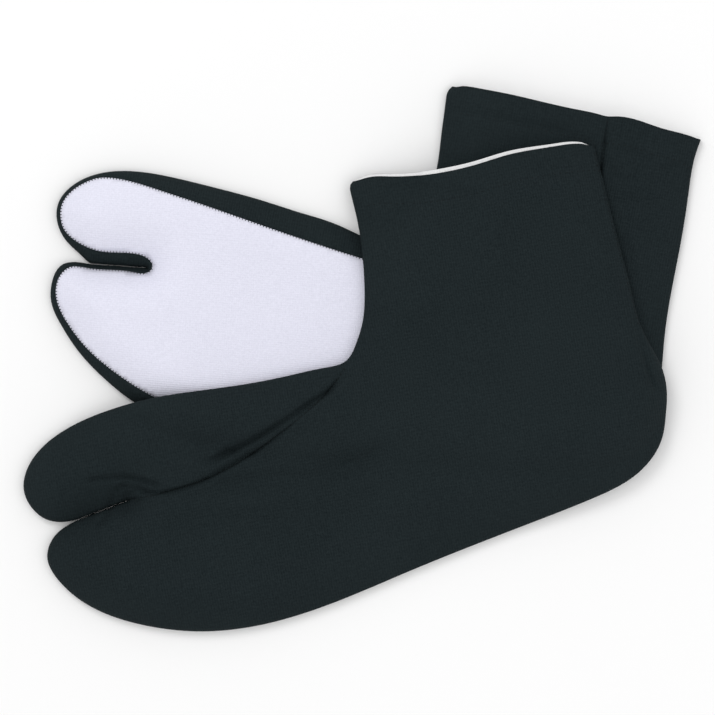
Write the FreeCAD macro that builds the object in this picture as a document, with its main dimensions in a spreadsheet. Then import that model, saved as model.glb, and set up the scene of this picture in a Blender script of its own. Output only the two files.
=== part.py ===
# A pair of split-toe stretch socks lying flat, right one below with its sole up, left one on top.
# Frame: X right, Y towards the cuffs, Z up, origin under the middle of the pair, millimetres.
# Each sock is built sole down, as an envelope between a lower and an upper cloth surface.
# The right sock is then turned over by mirroring it in Z.

import FreeCAD, Part
import math
import os

Vector = FreeCAD.Vector
doc = FreeCAD.newDocument("tabi_pair")

# Driving sizes, in millimetres and degrees.
SIZES = [
    ("left_foot_length", 238.0, "flat left foot, heel to toe tips"),
    ("right_foot_length", 230.0, "flat right foot, which lies slightly gathered"),
    ("foot_width", 96.0, "flat foot across the ball"),
    ("leg_height", 110.0, "heel point to cuff, along the back of the leg"),
    ("leg_width", 95.0, "flat leg, back edge to front edge"),
    ("cuff_slant", 4.0, "how much further the front of the cuff stands than the back"),
    ("toe_split_depth", 36.0, "toe tips to the root of the split"),
    ("toe_split_width", 2.0, "clear width of the split"),
    ("toe_split_offset", 46.0, "heel point line to the split, across the foot"),
    ("four_toe_taper", 3.0, "how much narrower the right sock's four toes lie"),
    ("outer_cloth", 1.0, "thickness of the black cloth and of the sole"),
    ("lining_cloth", 0.6, "thickness of the lining"),
    ("cloth_gap", 0.25, "room between cloth and lining"),
    ("leg_thickness", 9.2, "flat leg, over all layers"),
    ("toe_thickness", 13.0, "toes, over all layers"),
    ("edge_thickness", 4.8, "folded edge, over all layers"),
    ("edge_softness", 18.0, "distance from the edge to the full thickness"),
    ("seam_width", 1.4, "width of a sewn seam line"),
    ("seam_clearance", 0.06, "room on each side of a seam line"),
    ("tack_height", 3.0, "bar of thread at the root of the split"),
    ("hem_depth", 10.5, "cuff edge to the hem's stitching"),
    ("hem_groove", 0.4, "depth of the hem's stitching in the cloth"),
    ("seam_shift", 36.0, "how far the right sock's leg seams lie from its folded edges"),
    ("ankle_ease", 2.0, "how far the front edge swells out above the ankle"),
    ("front_seam_ease", 9.0, "how far the right front seam bows forward at the ankle"),
    ("back_seam_ease", 4.0, "how far the right back seam bows forward above the heel"),
    ("stack_clearance", 0.8, "left sock over the right one"),
    ("floor_clearance", 0.3, "room under the left sock where it comes down to the floor"),
    ("stack_margin", 5.0, "how far past the right sock's edge the left one keeps clear"),
    ("drape_length", 24.0, "length over which the left sock comes down to the floor"),
    ("left_foot_angle", 201.0, "direction of the left foot"),
    ("left_leg_angle", 100.0, "direction of the left leg"),
    ("left_leg_back", 6.0, "heel point line to the back edge of the left leg"),
    ("left_heel_x", 115.65, "left heel point"),
    ("left_heel_y", -24.3, "left heel point"),
    ("right_foot_angle", 176.0, "direction of the right foot"),
    ("right_leg_angle", 80.0, "direction of the right leg"),
    ("right_leg_back", -2.0, "heel point line to the back edge of the right leg"),
    ("right_heel_x", 107.65, "right heel point"),
    ("right_heel_y", -24.6, "right heel point"),
]

sheet = doc.addObject("Spreadsheet::Sheet", "sizes")
for row, (alias, value, note) in enumerate(SIZES, start=1):
    sheet.set("A%d" % row, alias)
    sheet.set("B%d" % row, str(value))
    sheet.set("C%d" % row, note)
    sheet.setAlias("B%d" % row, alias)
doc.recompute()


def size(alias):
    return float(sheet.get(alias))


# Construction only: how far helper solids reach, and how finely curves are followed.
SKY = 60.0
REACH_X = 168.0
REACH_Y = 144.0
GRID_STEP = 12.0
OVERRUN = 12.0
PAST_LEG = 60.0
PAST_SIDE = 1.4
PAST_TOES = 1.3
FAIR_POINTS = 200
SEAM_POINTS = 12
ARC_TOLERANCE = 0.15

# Proportions of the pattern.
TOES_PART = 0.55
THINNEST_EDGE = 0.3
TOES_RISE_FROM = 0.5
TOES_RISE_OVER = 0.4


def direction(angle):
    return Vector(math.cos(math.radians(angle)), math.sin(math.radians(angle)), 0)


def smooth_step(value):
    clamped = min(max(value, 0.0), 1.0)
    return clamped * clamped * (3.0 - 2.0 * clamped)


def spline_edge(points):
    curve = Part.BSplineCurve()
    curve.interpolate(points)
    return curve.toShape()


def arc_edges(points, closed=False):
    # A smooth line through points, as arcs that run into each other.
    curve = Part.BSplineCurve()
    curve.interpolate(points, PeriodicFlag=closed)
    return [arc.toShape() for arc in curve.toBiArcs(ARC_TOLERANCE)]


def inset_face(wire, inset):
    # A flat face inside a closed wire, smaller all round by the inset, or larger by a negative one.
    if inset == 0:
        return Part.Face(wire)
    return Part.Face(wire.makeOffset2D(-inset))


def offset_points(edge, distance, count):
    # Points beside an edge, at a distance to the left of its direction.
    points = []
    for position in edge.discretize(Number=count):
        parameter = edge.Curve.parameter(position)
        tangent = edge.tangentAt(parameter)
        points.append(position + Vector(-tangent.y, tangent.x, 0) * distance)
    return points


class Sock:
    # The flat pattern of one sock: where its points and lines lie, seen from above.

    def __init__(self, side, leg_seam_shift, taper):
        self.side = side
        self.length = size(side + "_foot_length")
        self.back = size(side + "_leg_back")
        self.heel = Vector(size(side + "_heel_x"), size(side + "_heel_y"), 0)
        self.along = direction(size(side + "_foot_angle"))
        self.across = Vector(self.along.y, -self.along.x, 0)
        self.up = direction(size(side + "_leg_angle"))
        self.front = Vector(-self.up.y, self.up.x, 0)
        self.leg_seam_shift = leg_seam_shift
        self.tuck = taper / size("foot_width")
        self.edge = spline_edge(self.outline_points())
        self.rim = self.edge.discretize(Number=FAIR_POINTS)

    def foot(self, length_share, width_share):
        along = length_share * self.length
        across = width_share * size("foot_width")
        return self.heel + self.along * along + self.across * across

    def leg(self, height, forward):
        return self.heel + self.up * height + self.front * (self.back + forward)

    def split(self, past_root):
        along = self.length - size("toe_split_depth") + past_root
        return self.heel + self.along * along + self.across * size("toe_split_offset")

    def outline_points(self):
        # From past the cuff's front corner, round the toes and the heel, to past its back corner.
        height = size("leg_height")
        width = size("leg_width")
        tuck = self.tuck
        toes_part = size("toe_split_depth") * TOES_PART
        return [
            self.leg(height + size("cuff_slant") + OVERRUN, width),
            self.leg(height * 0.85, width),
            self.leg(height * 0.63, width + size("ankle_ease")),
            self.foot(0.449, 0.675),
            self.foot(0.614, 0.749),
            self.foot(0.749, 0.815),
            self.foot(0.849, 0.836),
            self.foot(0.939, 0.800),
            self.foot(0.993, 0.683),
            self.foot(0.980, 0.555),
            self.split(toes_part),
            self.foot(0.985 - tuck * 0.3, 0.430),
            self.foot(1.001 - tuck * 0.2, 0.340),
            self.foot(0.980 - tuck * 0.3, 0.190 + tuck * 0.6),
            self.foot(0.917 - tuck * 0.3, 0.025 + tuck * 0.8),
            self.foot(0.814, -0.116 + tuck * 0.6),
            self.foot(0.700, -0.178 + tuck * 0.4),
            self.foot(0.503, -0.187 + tuck * 0.2),
            self.foot(0.310, -0.175),
            self.foot(0.120, -0.161),
            self.foot(0.044, -0.107),
            self.foot(0.000, 0.000),
            self.leg(height * 0.30, 0.0),
            self.leg(height * 0.65, 0.0),
            self.leg(height + OVERRUN, 0.0),
        ]

    def sole_points(self):
        tuck = self.tuck
        return [
            self.foot(0.978, 0.665),
            self.foot(0.958, 0.750),
            self.foot(0.920, 0.790),
            self.foot(0.850, 0.795),
            self.foot(0.750, 0.734),
            self.foot(0.635, 0.663),
            self.foot(0.492, 0.572),
            self.foot(0.360, 0.520),
            self.foot(0.200, 0.510),
            self.foot(0.070, 0.420),
            self.foot(0.022, 0.200),
            self.foot(0.060, -0.010),
            self.foot(0.150, -0.100),
            self.foot(0.350, -0.125),
            self.foot(0.550, -0.130 + tuck * 0.2),
            self.foot(0.700, -0.115 + tuck * 0.4),
            self.foot(0.814, -0.058 + tuck * 0.6),
            self.foot(0.905, 0.070 + tuck * 0.8),
            self.foot(0.955 - tuck * 0.3, 0.200 + tuck * 0.6),
            self.foot(0.982 - tuck * 0.3, 0.330),
            self.foot(0.972 - tuck * 0.3, 0.410),
            self.foot(0.930, 0.440),
            self.foot(0.870, 0.445),
            self.foot(0.834, 0.480),
            self.foot(0.870, 0.525),
            self.foot(0.945, 0.560),
        ]

    def instep_line(self):
        # The seam on the upper face, from outside the split up to the ankle or the cuff.
        height = size("leg_height")
        points = [
            self.split(size("toe_split_depth") + OVERRUN),
            self.split(0.0),
            self.foot(0.784, 0.455),
            self.foot(0.700, 0.448),
            self.foot(0.600, 0.505),
            self.foot(0.507, 0.580),
        ]
        if self.leg_seam_shift == 0:
            points.append(self.foot(0.455, 0.650))
            points.append(self.foot(0.441, 0.790))
        else:
            forward = size("leg_width") - self.leg_seam_shift
            points.append(self.leg(height * 0.66, forward + size("front_seam_ease")))
            points.append(self.leg(height * 0.85, forward))
            points.append(self.leg(height + size("cuff_slant") + OVERRUN, forward))
        return points

    def underside_line(self):
        # Where the two panels change over on the sole's face: split, middle of the sole, heel.
        points = [
            self.split(size("toe_split_depth") + OVERRUN),
            self.split(0.0),
            self.foot(0.650, 0.280),
            self.foot(0.300, 0.200),
        ]
        if self.leg_seam_shift == 0:
            points.append(self.foot(0.060, 0.090))
            points.append(self.foot(-0.060, 0.000))
        else:
            height = size("leg_height")
            points.append(self.leg(height * 0.45, self.leg_seam_shift + size("back_seam_ease")))
            points.append(self.leg(height * 0.70, self.leg_seam_shift))
            points.append(self.leg(height + OVERRUN, self.leg_seam_shift))
        return points

    def inner_side_faces(self, line, closing, grow):
        # A flat face over all that lies on the big-toe side of a line, grown past it by an amount.
        seam = offset_points(spline_edge(line[1:]), -grow, SEAM_POINTS)
        corners = [seam[-1]] + closing + [line[0], seam[0]]
        return Part.Face(Part.Wire(arc_edges(seam) + Part.makePolygon(corners).Edges))

    def big_toe_side(self, grow):
        # The inner panel's share of the upper face.
        height = size("leg_height")
        width = size("leg_width")
        closing = [self.foot(0.5, PAST_SIDE), self.foot(PAST_TOES, PAST_SIDE)]
        if self.leg_seam_shift > 0:
            closing[0] = self.leg(height + PAST_LEG, width + PAST_LEG)
        return self.inner_side_faces(self.instep_line(), closing, grow)

    def leg_side(self, grow):
        # The inner panel's share of the face that the sole is on.
        height = size("leg_height")
        width = size("leg_width")
        closing = [self.leg(height + PAST_LEG, width + PAST_LEG), self.foot(PAST_TOES, PAST_SIDE)]
        if self.leg_seam_shift == 0:
            closing = [self.leg(0, -PAST_LEG), self.leg(height + PAST_LEG, -PAST_LEG)] + closing
        return self.inner_side_faces(self.underside_line(), closing, grow)

    def sole_face(self, grow):
        return inset_face(Part.Wire(arc_edges(self.sole_points(), closed=True)), -grow)

    def outline_face(self, inset):
        edges = arc_edges(self.outline_points())
        closing = Part.makeLine(edges[-1].lastVertex(True).Point, edges[0].firstVertex(True).Point)
        return inset_face(Part.Wire(edges + [closing]), inset)

    def across_leg_face(self, below_cuff, width):
        # A straight strip across the leg, as wide as told, some way below the cuff's edge.
        low = size("leg_height") - below_cuff - width / 2.0
        high = size("leg_height") - below_cuff + width / 2.0
        slant = size("cuff_slant")
        reach = size("leg_width")
        rise = slant * 2.0
        corners = [
            self.leg(low - slant, -reach),
            self.leg(low + rise, 2.0 * reach),
            self.leg(high + rise, 2.0 * reach),
            self.leg(high - slant, -reach),
            self.leg(low - slant, -reach),
        ]
        return Part.Face(Part.makePolygon(corners))

    def back_half_face(self):
        reach = size("leg_height") + PAST_LEG
        middle = size("leg_width") / 2.0
        corners = [
            self.leg(-reach, middle),
            self.leg(reach, middle),
            self.leg(reach, -PAST_LEG),
            self.leg(-reach, -PAST_LEG),
            self.leg(-reach, middle),
        ]
        return Part.Face(Part.makePolygon(corners))

    def inside_distance(self, point):
        # Distance to the outline or the split, positive inside the flat sock.
        nearest = min(point.distanceToPoint(rim_point) for rim_point in self.rim)
        inside = False
        previous = self.rim[-1]
        for corner in self.rim:
            if (corner.y > point.y) != (previous.y > point.y):
                slope = (previous.x - corner.x) / (previous.y - corner.y)
                if point.x < corner.x + (point.y - corner.y) * slope:
                    inside = not inside
            previous = corner
        from_root = (point - self.split(0.0)).dot(self.along)
        from_split = abs((point - self.split(0.0)).dot(self.across))
        if from_root < 0:
            from_split = math.hypot(from_split, from_root)
        if inside:
            return min(nearest, from_split)
        return -nearest

    def thickness(self, point, extra=0.0):
        # Over all layers, from the folded edge up to the flat middle.
        forward = (point - self.heel).dot(self.along) / self.length
        share = smooth_step((forward - TOES_RISE_FROM) / TOES_RISE_OVER)
        full = size("leg_thickness") + (size("toe_thickness") - size("leg_thickness")) * share
        edge = size("edge_thickness")
        depth = min((self.inside_distance(point) + extra) / size("edge_softness"), 1.0)
        rise = 1.0 - (1.0 - depth) ** 2
        return max(edge + (full - edge) * rise, edge * THINNEST_EDGE)


def height_face(height_at):
    # A face over the whole plan, through heights on a square grid: a plane where they are all the same.
    steps_x = int(2 * REACH_X / GRID_STEP)
    steps_y = int(2 * REACH_Y / GRID_STEP)
    grid = []
    for column in range(steps_x + 1):
        line = []
        for row_number in range(steps_y + 1):
            point = Vector(-REACH_X + column * GRID_STEP, -REACH_Y + row_number * GRID_STEP, 0)
            line.append(Vector(point.x, point.y, height_at(point)))
        grid.append(line)
    heights = [point.z for line in grid for point in line]
    if min(heights) == max(heights):
        return Part.makePlane(2 * REACH_X, 2 * REACH_Y, Vector(-REACH_X, -REACH_Y, heights[0]))
    surface = Part.BSplineSurface()
    surface.interpolate(grid)
    return surface.toShape()


def extruded(face, base, height):
    # A solid over a face, moved to its base first, with its outside facing outwards.
    moved = face.copy()
    moved.translate(Vector(0, 0, base))
    solid = moved.extrude(Vector(0, 0, height))
    if solid.Volume < 0:
        solid.reverse()
    return solid


def prism(face):
    return extruded(face, -SKY, 2 * SKY)


def above(face, lift):
    return extruded(face, lift, 2 * SKY)


def below(face, lift):
    return extruded(face, lift, -2 * SKY)


class Cloth:
    # The layers of one sock, cut from its envelope.

    def __init__(self, sock, bottom_at, top_at):
        self.sock = sock
        self.bottom = height_face(bottom_at)
        self.top = height_face(top_at)
        self.middle = height_face(lambda point: (bottom_at(point) + top_at(point)) / 2.0)
        self.upper = above(self.middle, 0)
        self.lower = below(self.middle, 0)
        self.upper_and_seam = above(self.middle, -size("seam_width"))
        self.under_seam = below(self.middle, -size("seam_width"))
        beyond = OVERRUN * 4.0
        self.past_cuff = prism(sock.across_leg_face(-beyond / 2.0, beyond))

    def split_cutter(self, inset):
        radius = size("toe_split_width") / 2.0 + inset
        length = size("toe_split_depth") * 2.0
        start = self.sock.split(size("toe_split_width") / 2.0)
        corners = [
            start - self.sock.across * radius,
            start - self.sock.across * radius + self.sock.along * length,
            start + self.sock.across * radius + self.sock.along * length,
            start + self.sock.across * radius,
        ]
        root = Part.Arc(corners[3], start - self.sock.along * radius, corners[0]).toShape()
        return prism(Part.Face(Part.Wire(Part.makePolygon(corners).Edges + [root])))

    def envelope(self, inset):
        # Everything that lies deeper than the inset under the sock's outer surface.
        solid = prism(self.sock.outline_face(inset))
        solid = solid.common(below(self.top, -inset))
        solid = solid.common(above(self.bottom, inset))
        return solid.cut(self.split_cutter(inset))

    def shell(self, outside, inside):
        return self.envelope(outside).cut(self.past_cuff).cut(self.envelope(inside))

    def layer_under_sole(self, face, outside, inside):
        # A flat region of the sole's face, between two depths under the surface.
        return prism(face).common(above(self.bottom, outside)).common(below(self.bottom, inside))

    def sole(self, outside, inside):
        return main_solid(self.layer_under_sole(self.sock.sole_face(0), outside, inside))

    def sole_seam(self):
        clear = size("seam_clearance")
        cloth = size("outer_cloth")
        seam = self.layer_under_sole(self.sock.sole_face(size("seam_width") - clear), 0.0, cloth)
        return main_solid(seam.cut(prism(self.sock.sole_face(clear))))

    def panel_zones(self):
        # The room of the inner and the outer panel, with a seam's width between them.
        seam = size("seam_width")
        sole_and_seam = prism(self.sock.sole_face(seam)).common(self.lower)
        inner = prism(self.sock.big_toe_side(0)).common(self.upper_and_seam)
        inner = inner.fuse(prism(self.sock.leg_side(0)).common(self.under_seam))
        outer = self.upper.cut(prism(self.sock.big_toe_side(seam)))
        outer = outer.fuse(self.lower.cut(prism(self.sock.leg_side(seam))))
        return inner.cut(sole_and_seam), outer.cut(sole_and_seam)

    def leg_seams(self, shell):
        # The front and the back seam, along folded edges or across the faces of the leg.
        seam = size("seam_width")
        clear = size("seam_clearance")
        upper_line = prism(self.sock.big_toe_side(seam - clear)).cut(prism(self.sock.big_toe_side(clear)))
        leg_side = prism(self.sock.leg_side(seam - clear))
        lower_line = leg_side.cut(prism(self.sock.leg_side(clear)))
        back_half = prism(self.sock.back_half_face())
        sole_and_seam = prism(self.sock.sole_face(seam + clear)).common(self.lower)
        front = shell.common(upper_line).common(above(self.middle, clear - seam))
        back = shell.common(lower_line).common(below(self.middle, -clear))
        back = back.cut(sole_and_seam).common(back_half)
        if self.sock.leg_seam_shift > 0:
            return main_solid(front.common(self.upper)), main_solid(back)
        edge = shell.common(above(self.middle, clear - seam)).common(below(self.middle, -clear))
        edge = edge.common(leg_side)
        edge = edge.cut(prism(self.sock.big_toe_side(clear)))
        front = front.common(self.upper).fuse(front.common(leg_side)).fuse(edge.cut(back_half))
        back = back.fuse(edge.common(back_half))
        return main_solid(front), main_solid(back)

    def hem_stitching(self):
        # A closed ring of thread round the leg, and the groove that it lies in.
        clear = size("seam_clearance")
        groove = size("hem_groove")
        strip = prism(self.sock.across_leg_face(size("hem_depth"), 2.0 * groove))
        room = prism(self.sock.across_leg_face(size("hem_depth"), 2.0 * (groove + clear)))
        ring = self.envelope(0.0).cut(self.envelope(groove - clear)).common(strip)
        cutter = room.cut(self.envelope(groove))
        return ring, cutter


def main_solid(shape):
    # The one piece that a shape is meant to be, without crumbs left where faces nearly meet.
    solids = sorted(shape.removeSplitter().Solids, key=lambda solid: -solid.Volume)
    crumbs = sum(solid.Volume for solid in solids[1:])
    if crumbs > 0.01 * solids[0].Volume:
        raise RuntimeError("a cloth piece fell apart: %.1f of %.1f" % (crumbs, solids[0].Volume))
    return solids[0]


def build_sock(sock, bottom_at, top_at):
    cloth = Cloth(sock, bottom_at, top_at)
    lining_outside = size("outer_cloth") + size("cloth_gap")
    outer = cloth.shell(0.0, size("outer_cloth"))
    lining = cloth.shell(lining_outside, lining_outside + size("lining_cloth"))
    ring, groove = cloth.hem_stitching()
    inner_zone, outer_zone = cloth.panel_zones()
    instep_seam, back_seam = cloth.leg_seams(outer)
    return {
        "sole": cloth.sole(0.0, size("outer_cloth")),
        "sole_lining": cloth.sole(lining_outside, lining_outside + size("lining_cloth")),
        "inner_panel": main_solid(outer.common(inner_zone).cut(groove)),
        "outer_panel": main_solid(outer.common(outer_zone).cut(groove)),
        "inner_lining": main_solid(lining.common(inner_zone)),
        "outer_lining": main_solid(lining.common(outer_zone)),
        "sole_seam": cloth.sole_seam(),
        "instep_seam": main_solid(instep_seam.cut(groove)),
        "back_seam": main_solid(back_seam.cut(groove)),
        "cuff_stitching": main_solid(ring),
    }


def add_feature(name, shape):
    feature = doc.addObject("Part::Feature", name)
    feature.Label = name
    feature.Shape = shape
    feature.Placement = FreeCAD.Placement()
    return feature


right = Sock("right", size("seam_shift"), size("four_toe_taper"))
left = Sock("left", 0.0, 0.0)


def left_bottom(point):
    # The left sock lies on the right one, and comes down to the floor past its edge.
    depth = right.inside_distance(point) + size("stack_margin")
    if depth > 0:
        return right.thickness(point, size("stack_margin")) + size("stack_clearance")
    share = 1.0 - smooth_step(-depth / size("drape_length"))
    fall = size("edge_thickness") + size("stack_clearance") - size("floor_clearance")
    return size("floor_clearance") + fall * share


def left_top(point):
    return left_bottom(point) + left.thickness(point)


def turned_over(shape):
    return shape.mirror(Vector(0, 0, 0), Vector(0, 0, 1))


def add_toe_tack(sock, height_at_middle):
    # A short bar of thread that stands in the rounded root of the split.
    tack = doc.addObject("Part::Cylinder", sock.side + "_toe_tack")
    tack.Label = sock.side + "_toe_tack"
    tack.setExpression("Radius", "sizes.toe_split_width / 2 - sizes.seam_clearance")
    tack.setExpression("Height", "sizes.tack_height")
    place = sock.split(size("toe_split_width") / 2.0)
    place.z = height_at_middle(place) - size("tack_height") / 2.0
    tack.Placement = FreeCAD.Placement(place, FreeCAD.Rotation())
    return tack


nodes = []
for name, shape in build_sock(right, lambda point: -right.thickness(point), lambda point: 0.0).items():
    nodes.append(add_feature("right_" + name, turned_over(shape)))
for name, shape in build_sock(left, left_bottom, left_top).items():
    nodes.append(add_feature("left_" + name, shape))
nodes.append(add_toe_tack(right, lambda point: right.thickness(point) / 2.0))
nodes.append(add_toe_tack(left, lambda point: (left_bottom(point) + left_top(point)) / 2.0))

doc.recompute()
for item in doc.Objects:
    if "Invalid" in item.State or "Error" in item.State:
        raise RuntimeError("%s did not rebuild: %s" % (item.Label, item.State))
for node in nodes:
    if node.Shape.isNull() or not node.Shape.isValid():
        raise RuntimeError("%s has no sound shape" % node.Label)

os.makedirs("parts", exist_ok=True)
for node in nodes:
    node.Shape.exportStep(os.path.join("parts", node.Label + ".step"))
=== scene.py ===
# A pair of black split-toe socks with white soles, lying flat: the right one below with its sole up,
# the left one on top of it. Metres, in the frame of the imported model.

import math

import bpy
import numpy as np
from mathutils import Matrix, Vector, noise
from mathutils.geometry import delaunay_2d_cdt


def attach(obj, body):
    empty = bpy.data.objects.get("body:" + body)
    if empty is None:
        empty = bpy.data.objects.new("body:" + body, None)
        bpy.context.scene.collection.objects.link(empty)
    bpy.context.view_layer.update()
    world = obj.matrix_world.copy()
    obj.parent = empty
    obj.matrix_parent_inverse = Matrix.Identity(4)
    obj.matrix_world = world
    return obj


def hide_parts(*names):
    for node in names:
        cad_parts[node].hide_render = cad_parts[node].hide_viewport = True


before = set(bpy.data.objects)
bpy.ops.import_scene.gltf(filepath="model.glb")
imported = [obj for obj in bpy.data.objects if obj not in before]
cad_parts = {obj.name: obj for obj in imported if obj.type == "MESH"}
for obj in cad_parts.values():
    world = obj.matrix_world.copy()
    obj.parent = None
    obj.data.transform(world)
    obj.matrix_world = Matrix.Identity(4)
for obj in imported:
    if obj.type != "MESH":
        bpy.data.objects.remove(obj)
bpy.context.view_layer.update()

MM = 0.001

# The flat pattern, in millimetres and degrees, as it was cut and as the pair lies.
FOOT_WIDTH = 96.0
LEG_HEIGHT = 110.0
LEG_WIDTH = 95.0
CUFF_SLANT = 4.0
SPLIT_DEPTH = 36.0
SPLIT_OFFSET = 46.0
SPLIT_GAP = 0.13
TOES_PART = 0.60
TOES_STRAIGHT = 0.35
SEAM_SHIFT = 36.0
LEG_THICKNESS = 8.8
TOE_THICKNESS = 12.6
TOES_RISE_FROM = 0.5
TOES_RISE_OVER = 0.4
EDGE_SOFTNESS = 18.0
CALM_EDGE = 8.0
WAVE_LENGTH = 26.0
FOLD_RADIUS = 1.5
STACK_CLEARANCE = 1.0
STACK_MARGIN = 5.0
DRAPE_LENGTH = 24.0
FLOOR_CLEARANCE = 0.4

# Cloth, lining and thread.
CLOTH = 0.8
LINING = 0.4
LINING_DEPTH = 0.95
FAR_LAYER_SHOWS = 1.6
HEM_DEPTH = 10.5
THREAD = 0.22
SOLE_STITCH = 1.2
RUNNING_STITCH = 2.2
SOLE_STITCH_REACH = 0.34
STITCH_DIP = 0.28
SEAM_SINK = 0.06
HEM_SINK = 0.1
EDGE_SEAM_INSET = 0.9
TACK_REACH = 1.1
TACK_RISE = 1.2
TACK_BARS = 5

# Fineness of the cloth meshes.
LINE_STEP = 0.4
EDGE_STEP = 1.6
CLOTH_STEP = 1.7
CREASE_STEP = 0.9
CREASE_DEPTH = 1.7
FOLD_RINGS = 6
RIM_ROOM = 0.15
CUFF_CORNER_ROOM = 2.2


# ---------------------------------------------------------------- pattern


def direction(angle):
    return np.array([math.cos(math.radians(angle)), math.sin(math.radians(angle))])


def smooth_step(value):
    clamped = np.clip(value, 0.0, 1.0)
    return clamped * clamped * (3.0 - 2.0 * clamped)


def flowing_line(points, step, closed=False):
    """A smooth line through given points, as a batten would bend, as points about a step apart."""
    points = np.array(points, dtype=float)
    own = len(points)
    lead = 0
    if closed:
        lead = 4
        points = np.vstack([points[-lead:], points, points[: lead + 1]])
    gaps = np.linalg.norm(np.diff(points, axis=0), axis=1)
    size = len(points)
    stiffness = np.eye(size)
    turning = np.zeros_like(points)
    for knot in range(1, size - 1):
        before, after = gaps[knot - 1], gaps[knot]
        stiffness[knot, knot - 1 : knot + 2] = before, 2.0 * (before + after), after
        turning[knot] = 6.0 * (
            (points[knot + 1] - points[knot]) / after - (points[knot] - points[knot - 1]) / before
        )
    bend = np.linalg.solve(stiffness, turning)
    spans = range(lead, lead + own) if closed else range(size - 1)
    line = []
    for span in spans:
        gap = gaps[span]
        count = max(int(math.ceil(gap / step)), 1)
        for index in range(count):
            past = gap * index / count
            left_over = gap - past
            line.append(
                (bend[span] * left_over**3 + bend[span + 1] * past**3) / (6.0 * gap)
                + (points[span] / gap - bend[span] * gap / 6.0) * left_over
                + (points[span + 1] / gap - bend[span + 1] * gap / 6.0) * past
            )
    if not closed:
        line.append(points[-1])
    return np.array(line)


def evenly(line, step):
    """The same line, with points at equal distances."""
    lengths = np.concatenate([[0.0], np.cumsum(np.linalg.norm(np.diff(line, axis=0), axis=1))])
    count = max(int(round(lengths[-1] / step)), 1)
    at = np.linspace(0.0, lengths[-1], count + 1)
    return np.column_stack([np.interp(at, lengths, line[:, axis]) for axis in range(line.shape[1])])


def distance_to(points, line):
    """Distance from each point to a line, and how far along the line the nearest place lies."""
    best = np.full(len(points), 1e9)
    place = np.zeros(len(points))
    travelled = 0.0
    for start, end in zip(line, line[1:]):
        run = end - start
        length = math.hypot(run[0], run[1])
        if length < 1e-9:
            continue
        share = np.clip(((points - start) @ run) / length**2, 0.0, 1.0)
        gap = np.linalg.norm(points - start - share[:, None] * run, axis=1)
        closer = gap < best
        best[closer] = gap[closer]
        place[closer] = travelled + share[closer] * length
        travelled += length
    return best, place / max(travelled, 1e-9)


def inside(points, polygon):
    result = np.zeros(len(points), dtype=bool)
    previous = polygon[-1]
    for corner in polygon:
        if corner[1] != previous[1]:
            spans = (corner[1] > points[:, 1]) != (previous[1] > points[:, 1])
            slope = (previous[0] - corner[0]) / (previous[1] - corner[1])
            result ^= spans & (points[:, 0] < corner[0] + (points[:, 1] - corner[1]) * slope)
        previous = corner
    return result


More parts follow.
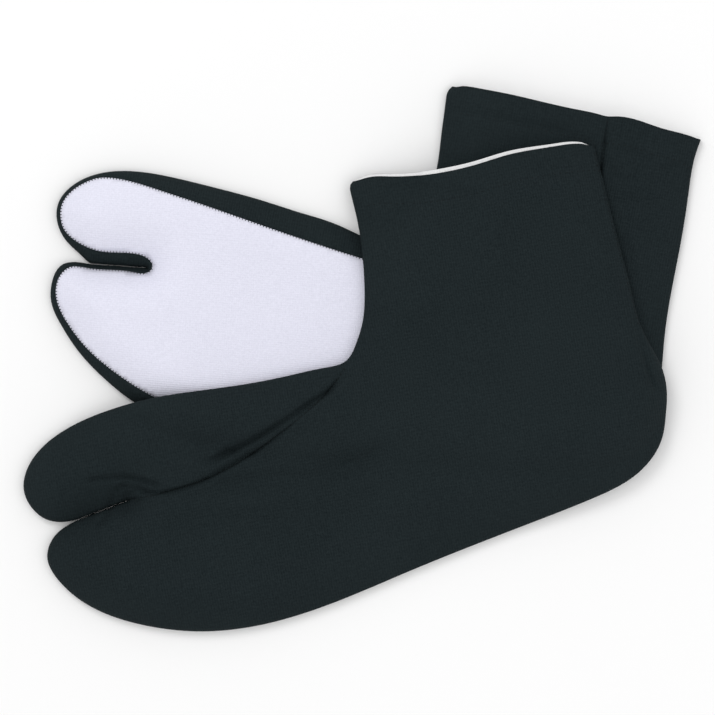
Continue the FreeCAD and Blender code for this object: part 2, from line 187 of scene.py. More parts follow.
class Pattern:
    """Where the points and lines of one sock lie, seen from above."""

    def __init__(self, side, heel, length, foot_angle, leg_angle, leg_back, seam_shift, taper):
        self.side = side
        self.heel = np.array(heel)
        self.length = length
        self.along = direction(foot_angle)
        self.across = np.array([self.along[1], -self.along[0]])
        self.up = direction(leg_angle)
        self.front = np.array([-self.up[1], self.up[0]])
        self.back = leg_back
        self.seam_shift = seam_shift
        self.tuck = taper / FOOT_WIDTH

    def outline(self, leg_front, inner_side, outer_side, leg_back, cuff):
        """Leg points are (height, forward) in millimetres, foot points are shares of length and width."""
        self.leg_front = leg_front
        self.inner_side = inner_side
        self.outer_side = outer_side
        self.leg_back = leg_back
        self.cuff = cuff
        self.edge = self.folded_edge()

    def foot(self, length_share, width_share):
        return self.heel + self.along * length_share * self.length + self.across * width_share * FOOT_WIDTH

    def leg(self, height, forward):
        return self.heel + self.up * height + self.front * (self.back + forward)

    def split(self, past_root, aside=0.0):
        along = self.length - SPLIT_DEPTH + past_root
        return self.heel + self.along * along + self.across * (SPLIT_OFFSET + aside)

    def folded_edge(self):
        """From the cuff's front corner, round big toe, split, four toes and heel, to its back corner."""
        before = [self.leg(height, forward) for height, forward in self.leg_front]
        before += [self.foot(length, width) for length, width in self.inner_side]
        before += [self.split(SPLIT_DEPTH * share, SPLIT_GAP) for share in (TOES_PART, TOES_STRAIGHT)]
        after = [self.split(SPLIT_DEPTH * share, -SPLIT_GAP) for share in (TOES_STRAIGHT, TOES_PART)]
        after += [self.foot(length, width) for length, width in self.outer_side]
        after += [self.leg(height, forward) for height, forward in self.leg_back]
        root = [
            self.split(SPLIT_GAP - SPLIT_GAP * math.cos(angle), -SPLIT_GAP * math.sin(angle))
            for angle in (-1.0, -0.5, 0.0, 0.5, 1.0)
        ]
        near_root = np.arange(SPLIT_DEPTH * TOES_STRAIGHT - EDGE_STEP, SPLIT_GAP, -EDGE_STEP)
        inner_wall = [self.split(past, SPLIT_GAP) for past in near_root]
        outer_wall = [self.split(past, -SPLIT_GAP) for past in near_root[::-1]]
        before = self.off_split(evenly(flowing_line(before, LINE_STEP), EDGE_STEP), 1.0)
        after = self.off_split(evenly(flowing_line(after, LINE_STEP), EDGE_STEP), -1.0)
        return np.vstack([before, inner_wall, root, outer_wall, after])

    def off_split(self, line, side):
        """Keeps a toe's edge on its own side of the split."""
        aside = (line - self.split(0.0)) @ self.across
        past_root = (line - self.split(0.0)) @ self.along
        crossed = (past_root > 0.0) & (past_root < SPLIT_DEPTH * TOES_PART) & (aside * side < SPLIT_GAP)
        return line + np.where(crossed, side * SPLIT_GAP - aside, 0.0)[:, None] * self.across

    def cuff_line(self, longer):
        """The cut edge of one layer at the cuff, from the back corner to the front one."""
        points = [self.edge[-1]]
        for share, extra in reversed(self.cuff):
            swell = longer * math.sqrt(max(math.sin(math.pi * share), 0.0))
            points.append(self.leg(LEG_HEIGHT + extra + swell, LEG_WIDTH * share))
        points.append(self.edge[0])
        return flowing_line(points, CLOTH_STEP)

    def hem_line(self):
        """The row of stitches round the leg, below the cuff."""
        points = [self.leg(LEG_HEIGHT - HEM_DEPTH - 1.0, 2.2)]
        for share, extra in reversed(self.cuff):
            points.append(self.leg(LEG_HEIGHT - HEM_DEPTH + extra, LEG_WIDTH * share))
        return evenly(flowing_line(points, LINE_STEP), CLOTH_STEP)

    def inner_of_instep(self):
        """All that lies on the big toe's side of the instep seam."""
        outside = [self.foot(1.3, 1.4), self.foot(1.3, 0.479)]
        if self.seam_shift:
            outside = [self.leg(170.0, LEG_WIDTH - self.seam_shift), self.leg(170.0, 160.0)] + outside
        else:
            outside = [self.foot(0.441, 0.79), self.foot(0.5, 1.4)] + outside
        return np.vstack([self.instep_seam(), outside])

    def inner_of_sole_side(self):
        """All that lies on the big toe's side, or on the leg, on the face that the sole is on."""
        middle = [self.foot(1.3, 0.479), self.split(0.0), self.foot(0.650, 0.280), self.foot(0.300, 0.200)]
        if self.seam_shift:
            rest = [self.leg(170.0, self.seam_shift), self.leg(170.0, 160.0), self.foot(1.3, 1.4)]
            return np.vstack([middle, self.back_seam(), rest])
        rest = [
            self.foot(0.06, 0.09),
            self.foot(-0.06, 0.0),
            self.leg(0.0, -60.0),
            self.leg(170.0, -60.0),
            self.leg(170.0, 160.0),
            self.foot(1.3, 1.4),
        ]
        return np.vstack([middle, rest])

    def sole_edge(self):
        tuck = self.tuck
        points = [
            self.foot(0.992, 0.690),
            self.foot(0.973, 0.770),
            self.foot(0.940, 0.816),
            self.foot(0.896, 0.821),
            self.foot(0.836, 0.791),
            self.foot(0.755, 0.741),
            self.foot(0.674, 0.688),
            self.foot(0.593, 0.636),
            self.foot(0.492, 0.576),
            self.foot(0.360, 0.520),
            self.foot(0.200, 0.510),
            self.foot(0.070, 0.420),
            self.foot(0.022, 0.200),
            self.foot(0.060, -0.010),
            self.foot(0.150, -0.100),
            self.foot(0.350, -0.125),
            self.foot(0.550, -0.130 + tuck * 0.2),
            self.foot(0.700, -0.115 + tuck * 0.4),
            self.foot(0.817, -0.060 + tuck),
            self.foot(0.883, 0.025 + tuck),
            self.foot(0.932, 0.112 + tuck),
            self.foot(0.966, 0.203 + tuck),
            self.foot(0.986, 0.300 + tuck * 0.5),
            self.foot(0.990, 0.380),
            self.foot(0.976, 0.450),
            self.foot(0.946, 0.472),
            self.foot(0.900, 0.466),
            self.foot(0.860, 0.456),
            self.foot(0.838, 0.463),
            self.foot(0.833, 0.484),
            self.foot(0.839, 0.510),
            self.foot(0.862, 0.530),
            self.foot(0.920, 0.530),
            self.foot(0.956, 0.556),
            self.foot(0.985, 0.612),
        ]
        return self.clear_of_fold(evenly(flowing_line(points, LINE_STEP, closed=True), CLOTH_STEP))

    def clear_of_fold(self, line):
        """The same line, moved inwards wherever it would run over the folded edge."""
        least = FOLD_RADIUS + RIM_ROOM
        starts = self.edge[:-1]
        runs = np.diff(self.edge, axis=0)
        moved = []
        for point, is_in in zip(line, inside(line, self.edge)):
            share = np.clip(((point - starts) * runs).sum(axis=1) / (runs**2).sum(axis=1), 0.0, 1.0)
            places = starts + share[:, None] * runs
            gaps = np.linalg.norm(places - point, axis=1)
            nearest = places[int(np.argmin(gaps))]
            depth = gaps.min() if is_in else -gaps.min()
            if depth < least:
                point = nearest + (point - nearest) / depth * least
            moved.append(point)
        return np.array(moved)

    def instep_seam(self):
        """From the root of the split, over the instep, to the ankle's fold or up to the cuff."""
        points = [
            self.split(0.0),
            self.foot(0.784, 0.456),
            self.foot(0.720, 0.449),
            self.foot(0.615, 0.490),
            self.foot(0.520, 0.565),
        ]
        if self.seam_shift:
            forward = LEG_WIDTH - self.seam_shift
            points.append(self.leg(LEG_HEIGHT * 0.66, forward + 9.0))
            points.append(self.leg(LEG_HEIGHT * 0.85, forward))
            points.append(self.leg(LEG_HEIGHT + CUFF_SLANT - 1.4, forward))
        else:
            points.append(self.foot(0.461, 0.640))
            points.append(self.foot(0.447, 0.668))
        return evenly(flowing_line(points, LINE_STEP), CLOTH_STEP)

    def back_seam(self):
        """On the sole's side, from the heel up to the cuff, where it lies off the folded edge."""
        points = [
            self.foot(0.205, 0.512),
            self.leg(LEG_HEIGHT * 0.58, self.seam_shift + 2.0),
            self.leg(LEG_HEIGHT * 0.75, self.seam_shift),
            self.leg(LEG_HEIGHT + 1.6, self.seam_shift + 0.6),
        ]
        return evenly(flowing_line(points, LINE_STEP), CLOTH_STEP)

    def folded_back_seam(self):
        """Along the back fold of the leg, where the seam lies on the edge."""
        heights = [LEG_HEIGHT * share for share in (0.35, 0.55, 0.76, 0.97)]
        forward = np.interp(heights, *np.array(self.leg_back).T)
        points = [self.leg(height, place) for height, place in zip(heights, forward)]
        return evenly(flowing_line(points, LINE_STEP), CLOTH_STEP)

    def inside_distance(self, points):
        gap, _ = distance_to(points, self.edge)
        return np.where(inside(points, self.edge), gap, -gap)

    def full_thickness(self, points):
        """Over all layers, away from the edges: the toes are thicker than the leg."""
        forward = (points - self.heel) @ self.along / self.length
        share = smooth_step((forward - TOES_RISE_FROM) / TOES_RISE_OVER)
        return LEG_THICKNESS + (TOE_THICKNESS - LEG_THICKNESS) * share

    def thickness(self, points, extra=0.0):
        """Over all layers, from the folded edge up to the flat middle."""
        full = self.full_thickness(points)
        depth = np.clip((self.inside_distance(points) + extra) / EDGE_SOFTNESS, 0.0, 1.0)
        return 2.0 * FOLD_RADIUS + (full - 2.0 * FOLD_RADIUS) * (1.0 - (1.0 - depth) ** 2)


right = Pattern("right", (107.65, -24.6), 230.0, 176.0, 80.0, -2.0, SEAM_SHIFT, 3.0)
right.outline(
    leg_front=[(113.7, 97.0), (112.2, 98.1), (108.3, 98.5), (95.0, 97.9), (81.5, 97.4), (69.3, 99.4)],
    inner_side=[
        (0.448, 0.652), (0.528, 0.698), (0.596, 0.740), (0.663, 0.779), (0.730, 0.811), (0.797, 0.839),
        (0.864, 0.857), (0.930, 0.841), (0.976, 0.783), (0.997, 0.710), (0.997, 0.640), (0.980, 0.565),
        (0.950, 0.504),
    ],
    outer_side=[
        (0.958, 0.482), (0.984, 0.467), (0.998, 0.400), (0.997, 0.315), (0.978, 0.228), (0.949, 0.136),
        (0.893, 0.014), (0.851, -0.054), (0.780, -0.122), (0.690, -0.165), (0.503, -0.185), (0.310, -0.175),
        (0.120, -0.161), (0.044, -0.107), (0.000, 0.000),
    ],
    leg_back=[(33.0, 0.6), (71.5, 0.8), (90.0, 1.2), (103.4, 1.2), (110.2, 0.1)],
    cuff=[
        (0.98, 4.4), (0.91, 4.5), (0.80, 4.3), (0.66, 3.6), (0.52, 3.0), (0.42, 2.6), (0.392, 2.4),
        (0.36, 2.9), (0.32, 3.3), (0.25, 2.8), (0.17, 1.6), (0.08, 1.0),
    ],
)
left = Pattern("left", (115.65, -24.3), 238.0, 201.0, 100.0, 6.0, 0.0, 0.0)
left.outline(
    leg_front=[
        (111.3, 95.9), (110.2, 97.1), (107.4, 97.5), (98.0, 96.9), (79.6, 97.5), (67.5, 99.1),
        (58.6, 101.3), (50.1, 105.5),
    ],
    inner_side=[
        (0.442, 0.688), (0.452, 0.682), (0.465, 0.684), (0.487, 0.694), (0.536, 0.712), (0.608, 0.743),
        (0.679, 0.784), (0.749, 0.821), (0.823, 0.840), (0.904, 0.830), (0.953, 0.792), (0.984, 0.736),
        (1.000, 0.667), (0.997, 0.579), (0.983, 0.524), (0.963, 0.494),
    ],
    outer_side=[
        (0.950, 0.474), (0.969, 0.464), (0.987, 0.440), (1.004, 0.380), (1.001, 0.290), (0.969, 0.145),
        (0.897, -0.008), (0.817, -0.110), (0.730, -0.169), (0.614, -0.193), (0.470, -0.184),
        (0.253, -0.178), (0.151, -0.174), (0.074, -0.146), (0.016, -0.048), (-0.003, 0.035),
    ],
    leg_back=[
        (12.4, -7.9), (21.7, -7.3), (30.5, -4.4), (38.0, -2.2), (54.0, -0.8), (70.0, 0.5), (94.4, 2.3),
        (108.6, 3.3),
    ],
    cuff=[
        (0.98, 1.5), (0.93, 1.7), (0.86, 0.5), (0.77, -0.9), (0.66, -1.6), (0.50, -0.8), (0.38, 0.6),
        (0.20, 0.7), (0.10, 0.2),
    ],
)


# ---------------------------------------------------------------- how the cloth lies


class Crease:
    """A line where the cloth dips, with a soft swell on both sides."""

    def __init__(self, points, depth, width, swell=0.3):
        self.line = evenly(flowing_line(points, 0.5), CREASE_STEP)
        self.depth = depth
        self.width = width
        self.swell = swell

    def height(self, points):
        gap, place = distance_to(points, self.line)
        fade = smooth_step(place / 0.18) * smooth_step((1.0 - place) / 0.18)
        dip = np.exp(-((gap / self.width) ** 2))
        bulge = np.exp(-(((gap - 2.4 * self.width) / (1.3 * self.width)) ** 2))
        return CREASE_DEPTH * self.depth * fade * (self.swell * bulge - dip)


def creases_on(place, rows):
    """One crease per row: its places on the foot or leg, then its depth, width and swell."""
    return [Crease([place(*spot) for spot in spots], *shape) for spots, *shape in rows]


def left_top_creases():
    from_ankle = [
        (0.452, 0.69), (0.470, 0.62), (0.506, 0.587), (0.551, 0.562), (0.608, 0.534), (0.651, 0.522),
        (0.693, 0.512), (0.730, 0.514),
    ]
    instep_seam = [
        (0.520, 0.565), (0.615, 0.490), (0.677, 0.466), (0.720, 0.449), (0.745, 0.446), (0.784, 0.456),
        (0.820, 0.488), (0.841, 0.511), (0.865, 0.521),
    ]
    at_split = [(0.862, 0.524), (0.879, 0.486), (0.892, 0.458), (0.914, 0.424)]
    over_big_toe = [(0.912, 0.618), (0.873, 0.598), (0.833, 0.563), (0.807, 0.518), (0.780, 0.462)]
    round_split = [(0.868, 0.520), (0.842, 0.538), (0.828, 0.514), (0.812, 0.482)]
    over_foot = [
        (0.75, 0.405), (0.673, 0.381), (0.615, 0.352), (0.523, 0.292), (0.492, 0.298), (0.40, 0.298),
    ]
    over_toes = [(0.94, 0.372), (0.874, 0.348), (0.803, 0.330), (0.729, 0.278), (0.60, 0.12)]
    hem = [(106.0, 88.0), (105.0, 76.0), (101.8, 64.0), (97.6, 53.0), (93.0, 46.0)]
    heel = [(47.0, -0.2), (38.0, -0.4), (29.0, -1.4), (20.0, -2.0), (10.0, -4.6)]
    on_foot = [
        (from_ankle, 1.2, 1.1, 0.5),
        (instep_seam, 0.9, 0.8, 0.5),
        (at_split, 1.3, 0.9, 0.5),
        (over_big_toe, 0.7, 0.8, 0.5),
        (round_split, 0.7, 0.7, 0.6),
        (over_foot, 0.9, 3.2),
        (over_toes, 0.8, 4.2),
    ]
    on_leg = [(hem, 0.35, 2.0), (heel, 1.0, 1.0, 0.6)]
    return creases_on(left.foot, on_foot) + creases_on(left.leg, on_leg)


def right_top_creases():
    seam = list(right.back_seam()[::6]) + [right.leg(LEG_HEIGHT + 4.0, SEAM_SHIFT + 0.6)]
    hem = [(104.8, 93.0), (104.6, 82.0), (104.0, 70.0), (103.8, 58.0), (103.6, 47.0)]
    on_leg = [
        (hem, 0.3, 1.6),
        ([(81.5, 30.0), (83.0, 18.0), (85.4, 6.0)], 0.35, 2.2),
        ([(96.0, 14.0), (98.8, 5.5)], 0.3, 1.4),
        ([(100.0, 34.0), (100.6, 26.0), (99.6, 20.0)], 0.3, 1.5),
        ([(91.0, 34.5), (90.0, 27.0), (90.8, 21.0)], 0.3, 1.5),
    ]
    return [Crease(seam, 0.6, 0.75, 0.5)] + creases_on(right.leg, on_leg)


def left_base(points):
    """The left sock lies on the right one, and comes down to the floor past its edge."""
    depth = right.inside_distance(points) + STACK_MARGIN
    fall = 2.0 * FOLD_RADIUS + STACK_CLEARANCE - FLOOR_CLEARANCE
    lowered = FLOOR_CLEARANCE + fall * (1.0 - smooth_step(-depth / DRAPE_LENGTH))
    lying = right.thickness(points, STACK_MARGIN) + STACK_CLEARANCE
    return np.where(depth > 0.0, lying, lowered)


def floor_base(points):
    return np.zeros(len(points))


class Lie:
    """The heights of one lying sock's two faces."""

    def __init__(self, pattern, base, top_creases, waves):
        self.pattern = pattern
        self.base = base
        self.creases = top_creases
        self.waves = waves

    def height(self, points, upper, depth=None):
        if depth is None:
            depth, _ = distance_to(points, self.pattern.edge)
        base = self.base(points)
        fold = np.sqrt(np.clip(1.0 - (1.0 - np.clip(depth / FOLD_RADIUS, 0.0, 1.0)) ** 2, 0.0, 1.0))
        if not upper:
            return base + FOLD_RADIUS * (1.0 - fold)
        full = self.pattern.full_thickness(points)
        rise = 1.0 - (1.0 - np.clip(depth / EDGE_SOFTNESS, 0.0, 1.0)) ** 2
        height = base + FOLD_RADIUS * (1.0 + fold) + (full - 2.0 * FOLD_RADIUS) * rise
        calm = smooth_step(depth / CALM_EDGE)
        for crease in self.creases:
            height = height + crease.height(points) * np.maximum(calm, 0.35)
        soft = [
            self.waves * noise.noise(Vector((x / WAVE_LENGTH, y / WAVE_LENGTH, 3.7))) for x, y in points
        ]
        return height + np.array(soft) * calm


# ---------------------------------------------------------------- cloth surfaces


class Spread:
    """Points spread over a face, none nearer to another than told."""

    def __init__(self):
        self.points = []
        self.cells = {}

    def add(self, point, room):
        cell = (int(math.floor(point[0] / 2.0)), int(math.floor(point[1] / 2.0)))
        if room:
            for column in (cell[0] - 1, cell[0], cell[0] + 1):
                for row in (cell[1] - 1, cell[1], cell[1] + 1):
                    for index in self.cells.get((column, row), ()):
                        if math.dist(self.points[index], point) < room:
                            return index
        self.points.append((float(point[0]), float(point[1])))
        self.cells.setdefault(cell, []).append(len(self.points) - 1)
        return len(self.points) - 1

    def add_line(self, line, room):
        indices = []
        for point in line:
            index = self.add(point, room)
            if not indices or indices[-1] != index:
                indices.append(index)
        return list(zip(indices, indices[1:]))


class SockSurface:
    """The whole outside of one sock as one net, with each triangle's region."""

    def __init__(self, lie, sole_up):
        self.lie = lie
        self.pattern = lie.pattern
        self.sole_up = sole_up
        self.vertices = []
        self.triangles = []
        self.regions = []
        self.make_rings()
        for upper in (True, False):
            self.make_face(upper)
        self.vertices = np.array(self.vertices)
        self.triangles = np.array(self.triangles)
        self.regions = np.array(self.regions)
        self.normals = self.vertex_normals()

    def make_rings(self):
        edge = self.pattern.edge
        tangent = np.gradient(edge, axis=0)
        inward = np.column_stack([-tangent[:, 1], tangent[:, 0]])
        inward /= np.linalg.norm(inward, axis=1)[:, None]
        cuff = (edge[-1] - edge[0]) / np.linalg.norm(edge[-1] - edge[0])
        inward[0] = cuff
        inward[-1] = -cuff
        self.rings = {}
        for upper in (True, False):
            rings = []
            for step in range(FOLD_RINGS + 1):
                turn = step / FOLD_RINGS * math.pi / 2.0
                inset = FOLD_RADIUS * (1.0 - math.cos(turn))
                if step == 0 and not upper:
                    rings.append(self.rings[True][0])
                    continue
                plan = edge + inward * inset
                height = self.lie.height(plan, upper, np.full(len(plan), inset))
                rings.append(self.add_vertices(plan, height))
            self.rings[upper] = rings
            self.inner_plan = edge + inward * FOLD_RADIUS

    def add_vertices(self, plan, height):
        first = len(self.vertices)
        self.vertices.extend(np.column_stack([plan, height]).tolist())
        return list(range(first, len(self.vertices)))

    def face_lines(self, upper):
        pattern = self.pattern
        if upper == self.sole_up:
            lines = [pattern.sole_edge()]
            if pattern.seam_shift:
                lines.append(pattern.back_seam())
            return lines
        return [pattern.instep_seam()]

    def region_of(self, centres, upper):
        pattern = self.pattern
        if upper == self.sole_up:
            names = np.where(inside(centres, pattern.inner_of_sole_side()), "inner_panel", "outer_panel")
            return np.where(inside(centres, pattern.sole_edge()), "sole", names)
        return np.where(inside(centres, pattern.inner_of_instep()), "inner_panel", "outer_panel")

    def make_face(self, upper):
        pattern = self.pattern
        spread = Spread()
        border = self.inner_plan
        ring_indices = [spread.add(point, 0.0) for point in border]
        longer = FAR_LAYER_SHOWS if not upper and not self.sole_up else 0.0
        corners = (border[0], border[-1])
        cuff = []
        for point in pattern.cuff_line(longer):
            if min(np.linalg.norm(corner - point) for corner in corners) > CUFF_CORNER_ROOM:
                cuff.append(point)
        cuff_indices = [spread.add(point, 0.0) for point in cuff]
        loop = ring_indices + cuff_indices
        edges = list(zip(loop, loop[1:] + loop[:1]))
        outline = np.vstack([border, cuff])
        for line in self.face_lines(upper):
            held = [point for point, is_in in zip(line, inside(line, outline)) if is_in]
            links = spread.add_line(held, 0.12)
            edges += links
            if np.linalg.norm(line[0] - line[-1]) < 3.0:
                edges.append((links[-1][1], links[0][0]))
        if upper:
            for crease in self.lie.creases:
                for aside in (0.0, -0.8, 0.8, -1.7, 1.7):
                    tangent = np.gradient(crease.line, axis=0)
                    across = np.column_stack([-tangent[:, 1], tangent[:, 0]])
                    across /= np.linalg.norm(across, axis=1)[:, None]
                    row = crease.line + across * aside
                    for point, is_in in zip(row, inside(row, outline)):
                        if is_in:
                            spread.add(point, 0.7)
        low = outline.min(axis=0)
        high = outline.max(axis=0)
        rows = int((high[1] - low[1]) / (CLOTH_STEP * 0.866)) + 1
        grid = []
        for row in range(rows):
            shift = CLOTH_STEP / 2.0 * (row % 2)
            for column in range(int((high[0] - low[0]) / CLOTH_STEP) + 1):
                grid.append((low[0] + shift + column * CLOTH_STEP, low[1] + row * CLOTH_STEP * 0.866))
        grid = np.array(grid)
        for point in grid[inside(grid, outline)]:
            spread.add(point, CLOTH_STEP * 0.72)
        plan, _, faces, origins, _, _ = delaunay_2d_cdt(
            [Vector(point) for point in spread.points], edges, [], 0, 1e-5, True
        )
        plan = np.array([(point.x, point.y) for point in plan])
        height = self.lie.height(plan, upper)
        numbers = self.add_vertices(plan, height)
        ring = self.rings[upper][-1]
        for number, sources in enumerate(origins):
            for source in sources:
                if source < len(ring):
                    numbers[number] = ring[source]
        faces = np.array([list(face) for face in faces])
        centres = plan[faces].mean(axis=1)
        kept = inside(centres, outline)
        names = self.region_of(centres, upper)
        panels = np.where(inside(centres, pattern.inner_of_sole_side()), "inner_panel", "outer_panel")
        panels = np.where(names == "sole", panels, names)
        beside = {}
        ring_place = {vertex: place for place, vertex in enumerate(ring)}
        for face, name, panel in zip(faces[kept], names[kept], panels[kept]):
            corners = [numbers[corner] for corner in face]
            flat = plan[face]
            turn = np.cross(flat[1] - flat[0], flat[2] - flat[0])
            if (turn > 0) != upper:
                corners.reverse()
            self.triangles.append(corners)
            self.regions.append(name)
            places = sorted(ring_place[corner] for corner in corners if corner in ring_place)
            for start, end in zip(places, places[1:]):
                if end == start + 1:
                    beside[start] = panel
        self.make_fold(upper, beside)

    def make_fold(self, upper, beside):
        rings = self.rings[upper]
        for place in range(len(rings[0]) - 1):
            name = beside.get(place, beside.get(place - 1, "outer_panel"))
            for low, high in zip(rings, rings[1:]):
                square = [low[place], low[place + 1], high[place + 1], high[place]]
                if not upper:
                    square.reverse()
                self.triangles.append([square[0], square[1], square[2]])
                self.triangles.append([square[0], square[2], square[3]])
                self.regions += [name, name]

    def vertex_normals(self):
        corners = self.vertices[self.triangles]
        faces = np.cross(corners[:, 1] - corners[:, 0], corners[:, 2] - corners[:, 0])
        normals = np.zeros_like(self.vertices)
        for corner in range(3):
            np.add.at(normals, self.triangles[:, corner], faces)
        return normals / np.maximum(np.linalg.norm(normals, axis=1), 1e-12)[:, None]

    def piece(self, name, region, outside, thickness, grain):
        """One layer of cloth over a region, with its own thickness and cut edges."""
        chosen = self.triangles[self.regions == region]
        used, compact = np.unique(chosen, return_inverse=True)
        chosen = compact.reshape(-1, 3)
        count = len(used)
        face = self.vertices[used] - self.normals[used] * outside
        back = self.vertices[used] - self.normals[used] * (outside + thickness)
        borders = {}
        for triangle in chosen:
            for start, end in zip(triangle, np.roll(triangle, -1)):
                borders[(int(start), int(end))] = True
        faces = [tuple(map(int, triangle)) for triangle in chosen]
        faces += [tuple(int(corner) + count for corner in reversed(triangle)) for triangle in chosen]
        for start, end in borders:
            if (end, start) not in borders:
                faces.append((end, start, start + count, end + count))
        mesh = bpy.data.meshes.new(name)
        mesh.from_pydata((np.vstack([face, back]) * MM).tolist(), [], faces)
        mesh.validate()
        plan = np.vstack([face, back])[:, :2] - self.pattern.heel
        along, beside = grain
        threads = np.column_stack([plan @ beside, plan @ along]) * MM
        layer = mesh.uv_layers.new(name="weave")
        corner_vertices = np.empty(len(mesh.loops), dtype=np.int32)
        mesh.loops.foreach_get("vertex_index", corner_vertices)
        layer.data.foreach_set("uv", threads[corner_vertices].ravel())
        mesh.shade_smooth()
        piece = bpy.data.objects.new(name, mesh)
        bpy.context.scene.collection.objects.link(piece)
        return piece


# ---------------------------------------------------------------- thread


def thread_mesh(name, stitches, height_of, upper_side, lift, sides=6):
    """Stitches as short bowed threads: each runs between two plan points, and dips in at both ends."""
    vertices = []
    faces = []
    stages = 5
    starts = np.array([stitch[0] for stitch in stitches])
    ends = np.array([stitch[1] for stitch in stitches])
    side = 1.0 if upper_side else -1.0
    for stage in range(stages):
        share = stage / (stages - 1)
        plan = starts + (ends - starts) * share
        bow = math.sin(math.pi * share)
        height = height_of(plan) + side * (lift * bow - STITCH_DIP * (1.0 - bow))
        vertices.append(np.column_stack([plan, height]))
    run = ends - starts
    run = run / np.maximum(np.linalg.norm(run, axis=1), 1e-9)[:, None]
    aside = np.column_stack([-run[:, 1], run[:, 0], np.zeros(len(run))])
    rise = np.array([0.0, 0.0, 1.0])
    points = []
    for number in range(len(stitches)):
        first = len(points)
        for stage in range(stages):
            share = stage / (stages - 1)
            radius = THREAD * (0.55 + 0.45 * math.sin(math.pi * share))
            for turn in range(sides):
                angle = 2.0 * math.pi * turn / sides
                outward = math.cos(angle) * aside[number] + math.sin(angle) * rise
                points.append(vertices[stage][number] + radius * outward)
        for stage in range(stages - 1):
            low = first + stage * sides
            high = low + sides
            for turn in range(sides):
                after = (turn + 1) % sides
                faces.append((low + turn, high + turn, high + after, low + after))
        faces.append(tuple(first + turn for turn in range(sides)))
        last = first + (stages - 1) * sides
        faces.append(tuple(last + turn for turn in reversed(range(sides))))
    mesh = bpy.data.meshes.new(name)
    mesh.from_pydata((np.array(points) * MM).tolist(), [], faces)
    mesh.validate()
    mesh.shade_smooth()
    piece = bpy.data.objects.new(name, mesh)
    bpy.context.scene.collection.objects.link(piece)
    return piece


def across_stitches(line, pitch, reach, slant=0.15):
    """Oversewn stitches: one thread across the line at every pitch, slightly slanted."""
    row = evenly(line, pitch)
    run = np.gradient(row, axis=0)
    run /= np.linalg.norm(run, axis=1)[:, None]
    aside = np.column_stack([-run[:, 1], run[:, 0]])
    lean = run * slant
    outward = aside * 0.2
    return list(zip(row - outward - (aside + lean) * reach, row - outward + (aside + lean) * reach))


def running_stitches(line, pitch):
    """Stitches along the line, with a gap between them."""
    row = evenly(line, pitch)
    return [(start, start + (end - start) * 0.68) for start, end in zip(row, row[1:])]


# ---------------------------------------------------------------- finishes


class Tone:
    """A number that varies over a surface: arithmetic on it adds the shader's own maths."""

    def __init__(self, finish, socket):
        self.finish = finish
        self.socket = socket

    def maths(self, operation, *values):
        return self.finish.node("ShaderNodeMath", {"operation": operation}, dict(enumerate(values)))

    def __add__(self, other):
        return self.maths("ADD", self, other)

    __radd__ = __add__

    def __sub__(self, other):
        return self.maths("SUBTRACT", self, other)

    def __rsub__(self, other):
        return self.maths("SUBTRACT", other, self)

    def __mul__(self, other):
        return self.maths("MULTIPLY", self, other)

    __rmul__ = __mul__

    def sine(self):
        return self.maths("SINE", self)


class Finish:
    """A procedural material, built from nodes by their type."""

    def __init__(self, name):
        self.material = bpy.data.materials.new(name)
        self.material.use_nodes = True
        self.tree = self.material.node_tree
        self.surface = self.tree.nodes["Principled BSDF"]

    def node(self, kind, settings=None, sockets=None, output=0):
        made = self.tree.nodes.new(kind)
        for name, value in (settings or {}).items():
            setattr(made, name, value)
        for name, value in (sockets or {}).items():
            self.feed(made.inputs[name], value)
        return Tone(self, made.outputs[output])

    def feed(self, socket, value):
        if isinstance(value, Tone):
            self.tree.links.new(value.socket, socket)
        else:
            socket.default_value = value

    def split(self, vector):
        apart = self.tree.nodes.new("ShaderNodeSeparateXYZ")
        self.feed(apart.inputs[0], vector)
        return [Tone(self, apart.outputs[axis]) for axis in range(3)]

    def noise(self, coordinates, scale, detail=3.0, roughness=0.5):
        sockets = {"Vector": coordinates, "Scale": scale, "Detail": detail, "Roughness": roughness}
        return self.node("ShaderNodeTexNoise", {}, sockets)

    def mix(self, share, first, second):
        return self.node("ShaderNodeMix", {"data_type": "RGBA"}, {0: share, 6: first, 7: second}, 2)

    def bump(self, height, strength, distance):
        sockets = {"Height": height, "Strength": strength, "Distance": distance}
        return self.node("ShaderNodeBump", {}, sockets)


def cloth_finish(name, dark, light, wale, course, ribs, bump, roughness):
    """Knitted or woven cloth: threads across and along, cloudy shade and a fine fuzz."""
    finish = Finish(name)
    weave = finish.node("ShaderNodeUVMap", {"uv_map": "weave"})
    place = finish.node("ShaderNodeTexCoord", {}, {}, 3)
    across, along, _ = finish.split(weave)
    wobble = finish.noise(place, 240.0, 2.0)
    rib = (across * (2.0 * math.pi / wale) + wobble * 2.2).sine() * 0.5 + 0.5
    row = (along * (2.0 * math.pi / course) + wobble * 2.6).sine() * 0.5 + 0.5
    cloud = finish.noise(place, 26.0, 4.0, 0.6)
    fuzz = finish.noise(place, 1300.0, 2.0, 0.7)
    shade = cloud * 0.4 + (fuzz - 0.5) * 1.5 + rib * ribs + row * ribs * 0.4 + (0.3 - 0.7 * ribs)
    finish.feed(finish.surface.inputs["Base Color"], finish.mix(shade, dark, light))
    finish.feed(finish.surface.inputs["Roughness"], roughness + (fuzz - 0.5) * 0.12)
    relief = rib * 0.6 + row * 0.25 + fuzz * 0.35
    finish.feed(finish.surface.inputs["Normal"], finish.bump(relief, bump, 0.0002))
    finish.surface.inputs["Specular IOR Level"].default_value = 0.08
    return finish.material


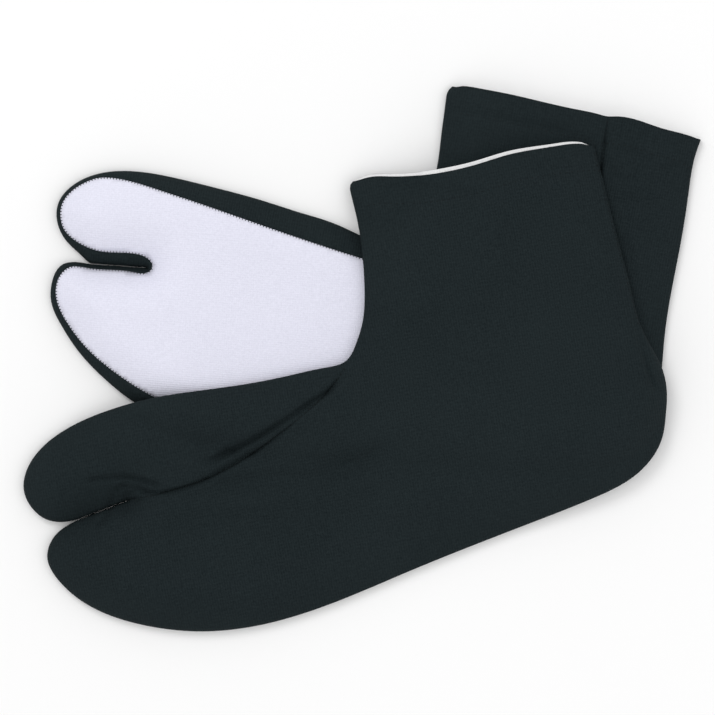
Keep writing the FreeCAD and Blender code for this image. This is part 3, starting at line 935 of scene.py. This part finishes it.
def thread_finish(name, dark, light):
    finish = Finish(name)
    place = finish.node("ShaderNodeTexCoord", {}, {}, 3)
    fibre = finish.noise(place, 2600.0, 2.0, 0.6)
    finish.feed(finish.surface.inputs["Base Color"], finish.mix(fibre, dark, light))
    finish.feed(finish.surface.inputs["Roughness"], 0.62 + fibre * 0.2)
    finish.feed(finish.surface.inputs["Normal"], finish.bump(fibre, 0.4, 0.0001))
    finish.surface.inputs["Specular IOR Level"].default_value = 0.12
    return finish.material


black_knit = cloth_finish(
    "black_knit", (0.0062, 0.0102, 0.0118, 1.0), (0.0165, 0.0240, 0.0262, 1.0),
    wale=0.00095, course=0.0013, ribs=0.25, bump=0.6, roughness=0.9,
)
sole_cloth = cloth_finish(
    "sole_cloth", (0.66, 0.66, 0.76, 1.0), (0.78, 0.78, 0.89, 1.0),
    wale=0.00085, course=0.00085, ribs=0.2, bump=0.35, roughness=0.85,
)
lining_cloth = cloth_finish(
    "lining_cloth", (0.76, 0.76, 0.77, 1.0), (0.88, 0.88, 0.88, 1.0),
    wale=0.0011, course=0.0011, ribs=0.2, bump=0.3, roughness=0.9,
)
black_thread = thread_finish("black_thread", (0.004, 0.006, 0.007, 1.0), (0.010, 0.014, 0.015, 1.0))


# ---------------------------------------------------------------- the pair


def finished(piece, material, body, node):
    piece.data.materials.append(material)
    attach(piece, body)
    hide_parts(node)
    return piece


def sew_sock(lie, sole_up):
    pattern = lie.pattern
    side = pattern.side
    body = side + "_sock"
    surface = SockSurface(lie, sole_up)
    leg_grain = (pattern.up, pattern.front)
    foot_grain = (pattern.along, pattern.across)

    for region, cloth, slot, lining_name in (
        ("sole", sole_cloth, "sole_cloth", "sole_lining"),
        ("inner_panel", black_knit, "black_knit", "inner_lining"),
        ("outer_panel", black_knit, "black_knit", "outer_lining"),
    ):
        grain = foot_grain if region == "sole" else leg_grain
        for part, outside, thickness, material, place in (
            (region, 0.0, CLOTH, cloth, slot),
            (lining_name, LINING_DEPTH, LINING, lining_cloth, "lining_cloth"),
        ):
            name = "%s_%s" % (side, part)
            piece = surface.piece(name + "_cloth", region, outside, thickness, grain)
            finished(piece, material, body, name)

    def on_top(points):
        return lie.height(points, True)

    def beneath(points):
        return lie.height(points, False)

    sole_side = on_top if sole_up else beneath
    other_side = beneath if sole_up else on_top
    sole_line = np.vstack([pattern.sole_edge(), pattern.sole_edge()[:1]])
    sole_row = across_stitches(sole_line, SOLE_STITCH, SOLE_STITCH_REACH)
    instep_row = running_stitches(pattern.instep_seam(), RUNNING_STITCH)
    if pattern.seam_shift:
        back_row = running_stitches(pattern.back_seam(), RUNNING_STITCH)
    else:
        edge_line = pattern.folded_back_seam() + pattern.front * EDGE_SEAM_INSET
        back_row = running_stitches(edge_line, RUNNING_STITCH)
    cuff_row = running_stitches(pattern.hem_line(), RUNNING_STITCH)
    root = pattern.split(0.2)
    middle = float(beneath(root[None, :])[0] + on_top(root[None, :])[0]) / 2.0
    reach = pattern.across * TACK_REACH
    bars = [(root - reach, root + reach) for _ in range(TACK_BARS)]

    def tack_levels(points):
        return middle + np.linspace(-TACK_RISE, TACK_RISE, len(points))

    threads = {}
    for part, row, height_of, upper, lift in (
        ("sole_seam", sole_row, sole_side, sole_up, 0.0),
        ("instep_seam", instep_row, other_side, not sole_up, -SEAM_SINK),
        ("back_seam", back_row, on_top, True, -SEAM_SINK),
        ("cuff_stitching", cuff_row, on_top, True, -HEM_SINK),
        ("toe_tack", bars, tack_levels, True, 0.1),
    ):
        threads[part] = thread_mesh("%s_%s_thread" % (side, part), row, height_of, upper, lift)
    for part, piece in threads.items():
        finished(piece, black_thread, body, "%s_%s" % (side, part))


right_lie = Lie(right, floor_base, right_top_creases(), waves=0.28)
left_lie = Lie(left, left_base, left_top_creases(), waves=0.35)
sew_sock(right_lie, sole_up=True)
sew_sock(left_lie, sole_up=False)


# ---------------------------------------------------------------- stage


def stage_floor():
    bpy.ops.object.select_all(action="DESELECT")
    bpy.ops.mesh.primitive_plane_add(size=6.0, location=(0.0, 0.0, 0.0))
    floor = bpy.context.object
    floor.name = "studio_floor"
    finish = Finish("pale_floor")
    place = finish.node("ShaderNodeTexCoord", {}, {}, 3)
    grain = finish.noise(place, 4.0, 2.0)
    colour = finish.mix(grain, (0.90, 0.90, 0.90, 1.0), (0.92, 0.92, 0.92, 1.0))
    finish.feed(finish.surface.inputs["Base Color"], colour)
    finish.surface.inputs["Roughness"].default_value = 0.9
    finish.surface.inputs["Specular IOR Level"].default_value = 0.1
    floor.data.materials.append(finish.material)


def soft_light(name, place, size, power):
    light = bpy.data.lights.new(name, "AREA")
    light.shape = "DISK"
    light.size = size
    light.energy = power
    lamp = bpy.data.objects.new(name, light)
    lamp.location = place
    lamp.rotation_euler = (Vector((0.0, 0.0, 0.0)) - Vector(place)).to_track_quat("-Z", "Y").to_euler()
    bpy.context.scene.collection.objects.link(lamp)


stage_floor()
soft_light("key_light", (-0.9, 1.3, 1.7), 1.0, 12.0)
soft_light("fill_light", (1.1, -0.6, 1.6), 1.4, 4.5)

world = bpy.data.worlds.new("studio_air")
world.use_nodes = True
world.node_tree.nodes["Background"].inputs["Color"].default_value = (1.0, 1.0, 1.0, 1.0)
world.node_tree.nodes["Background"].inputs["Strength"].default_value = 0.86
bpy.context.scene.world = world
bpy.context.scene.view_settings.view_transform = "Standard"

VIEW_WIDTH = 0.2717
CAMERA_PLACE = (-0.00225, 0.00057, 2.0)
SOCK_LEVEL = 0.008
camera_data = bpy.data.cameras.new("overhead_camera")
camera_data.sensor_width = 36.0
camera_data.lens = camera_data.sensor_width * (CAMERA_PLACE[2] - SOCK_LEVEL) / VIEW_WIDTH
camera_data.clip_end = 50.0
camera = bpy.data.objects.new("overhead_camera", camera_data)
camera.location = CAMERA_PLACE
bpy.context.scene.collection.objects.link(camera)
bpy.context.scene.camera = camera
